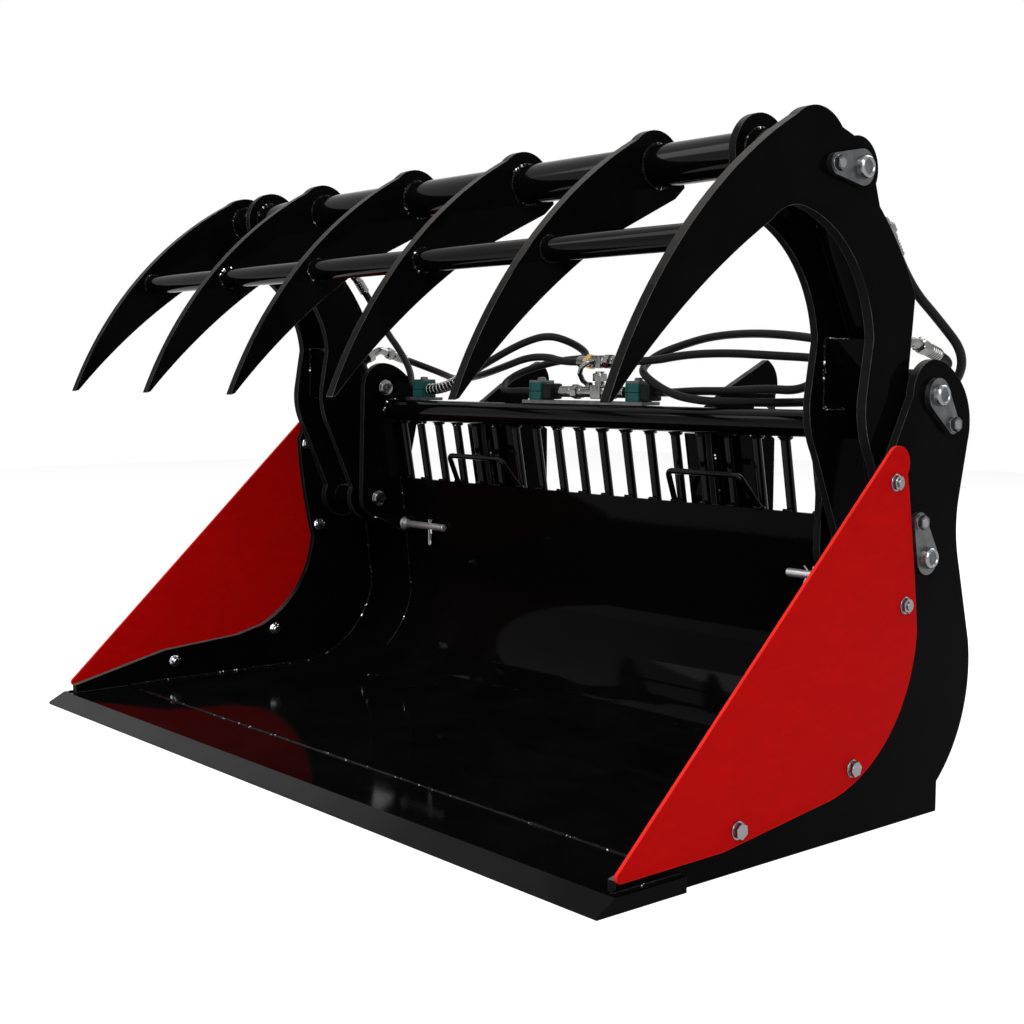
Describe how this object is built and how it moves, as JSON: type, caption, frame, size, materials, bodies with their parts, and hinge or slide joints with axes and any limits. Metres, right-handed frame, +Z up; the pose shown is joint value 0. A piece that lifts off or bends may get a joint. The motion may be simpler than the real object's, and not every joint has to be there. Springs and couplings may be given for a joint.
{
  "type": "hydraulic grapple bucket",
  "caption": "Wide loader bucket with bolted side wings, a rear grille and a hinged grapple of curved tines that two hydraulic cylinders close onto the load.",
  "frame": {"origin": "middle of the blade's front edge on the ground", "axes": "+X across the width to the loader driver's left, +Y to the rear towards the loader, +Z up"},
  "size_m": [1.506, 0.8527, 0.9711],
  "materials": {
    "black_paint": "gloss paint",
    "red_paint": "gloss paint",
    "zinc_plate": "bright zinc plating",
    "hard_chrome": "ground hard chrome",
    "fitting_steel": "plated steel",
    "hose_rubber": "matt",
    "clamp_plastic": "moulded"
  },
  "bodies": {
    "bucket": {"cutting_edge": "black_paint", "bucket_shell": "black_paint", "side_plate_left": "black_paint", "side_plate_right": "black_paint", "wing_plate_left": "red_paint", "wing_plate_right": "red_paint", "wing_bolts": "zinc_plate", "cheek_plate_left": "black_paint", "cheek_plate_right": "black_paint", "rear_tube": "black_paint", "grille_bars": "black_paint", "guard_hoops": "black_paint", "coupler_backings": "black_paint", "coupler_ear_left": "black_paint", "coupler_ear_right": "black_paint", "pivot_pin_left": "zinc_plate", "pivot_pin_right": "zinc_plate", "anchor_pin_left": "zinc_plate", "anchor_pin_right": "zinc_plate", "anchor_sleeves": "zinc_plate", "pin_retainers": "zinc_plate", "stop_studs": "zinc_plate", "clamp_rail": "zinc_plate", "hose_clamps": "clamp_plastic", "clamp_covers": "zinc_plate", "tee_fittings": "fitting_steel", "hose_left_rod": "hose_rubber", "hose_left_foot": "hose_rubber", "hose_right_rod": "hose_rubber", "hose_right_foot": "hose_rubber"},
    "grapple": {"arm_outer_left": "black_paint", "arm_outer_right": "black_paint", "arm_inner_left": "black_paint", "arm_inner_right": "black_paint", "tine_2": "black_paint", "tine_3": "black_paint", "tine_4": "black_paint", "tine_5": "black_paint", "main_tube": "black_paint", "lower_tube": "black_paint", "arm_spacers": "black_paint", "pivot_bush_left": "black_paint", "pivot_bush_right": "black_paint", "head_pin_ends_left": "zinc_plate", "head_pin_ends_right": "zinc_plate", "head_retainers": "zinc_plate"},
    "cylinder_left": {"barrel_left": "black_paint", "gland_left": "black_paint", "port_fittings_left": "fitting_steel"},
    "rod_left": {"piston_rod_left": "hard_chrome", "head_pin_left": "zinc_plate"},
    "cylinder_right": {"barrel_right": "black_paint", "gland_right": "black_paint", "port_fittings_right": "fitting_steel"},
    "rod_right": {"piston_rod_right": "hard_chrome", "head_pin_right": "zinc_plate"}
  },
  "joints": [
    {"name": "grapple_swing", "type": "hinge", "parent": "bucket", "child": "grapple", "pos_m": [0, 0.636, 0.371], "axis": [1, 0, 0], "range_deg": [0, 51]},
    {"name": "cylinder_left_swing", "type": "hinge", "parent": "bucket", "child": "cylinder_left", "pos_m": [0, 0.654, 0.597], "axis": [1, 0, 0], "range_deg": [0, 62.8], "deforming": ["hose_left_rod", "hose_left_foot"]},
    {"name": "rod_left_slide", "type": "slide", "parent": "cylinder_left", "child": "rod_left", "axis": [0, -0.4614, 0.8872], "range_m": [0, 0.1756]},
    {"name": "cylinder_right_swing", "type": "hinge", "parent": "bucket", "child": "cylinder_right", "pos_m": [0, 0.654, 0.597], "axis": [1, 0, 0], "range_deg": [0, 62.8], "deforming": ["hose_right_rod", "hose_right_foot"]},
    {"name": "rod_right_slide", "type": "slide", "parent": "cylinder_right", "child": "rod_right", "axis": [0, -0.4614, 0.8872], "range_m": [0, 0.1756]}
  ],
  "couplings": [
    {"joint": "cylinder_left_swing", "follows": "grapple_swing", "ratio": 1.2309},
    {"joint": "rod_left_slide", "follows": "grapple_swing", "m_per_rad": 0.19716},
    {"joint": "cylinder_right_swing", "follows": "grapple_swing", "ratio": 1.2309},
    {"joint": "rod_right_slide", "follows": "grapple_swing", "m_per_rad": 0.19716}
  ]
}
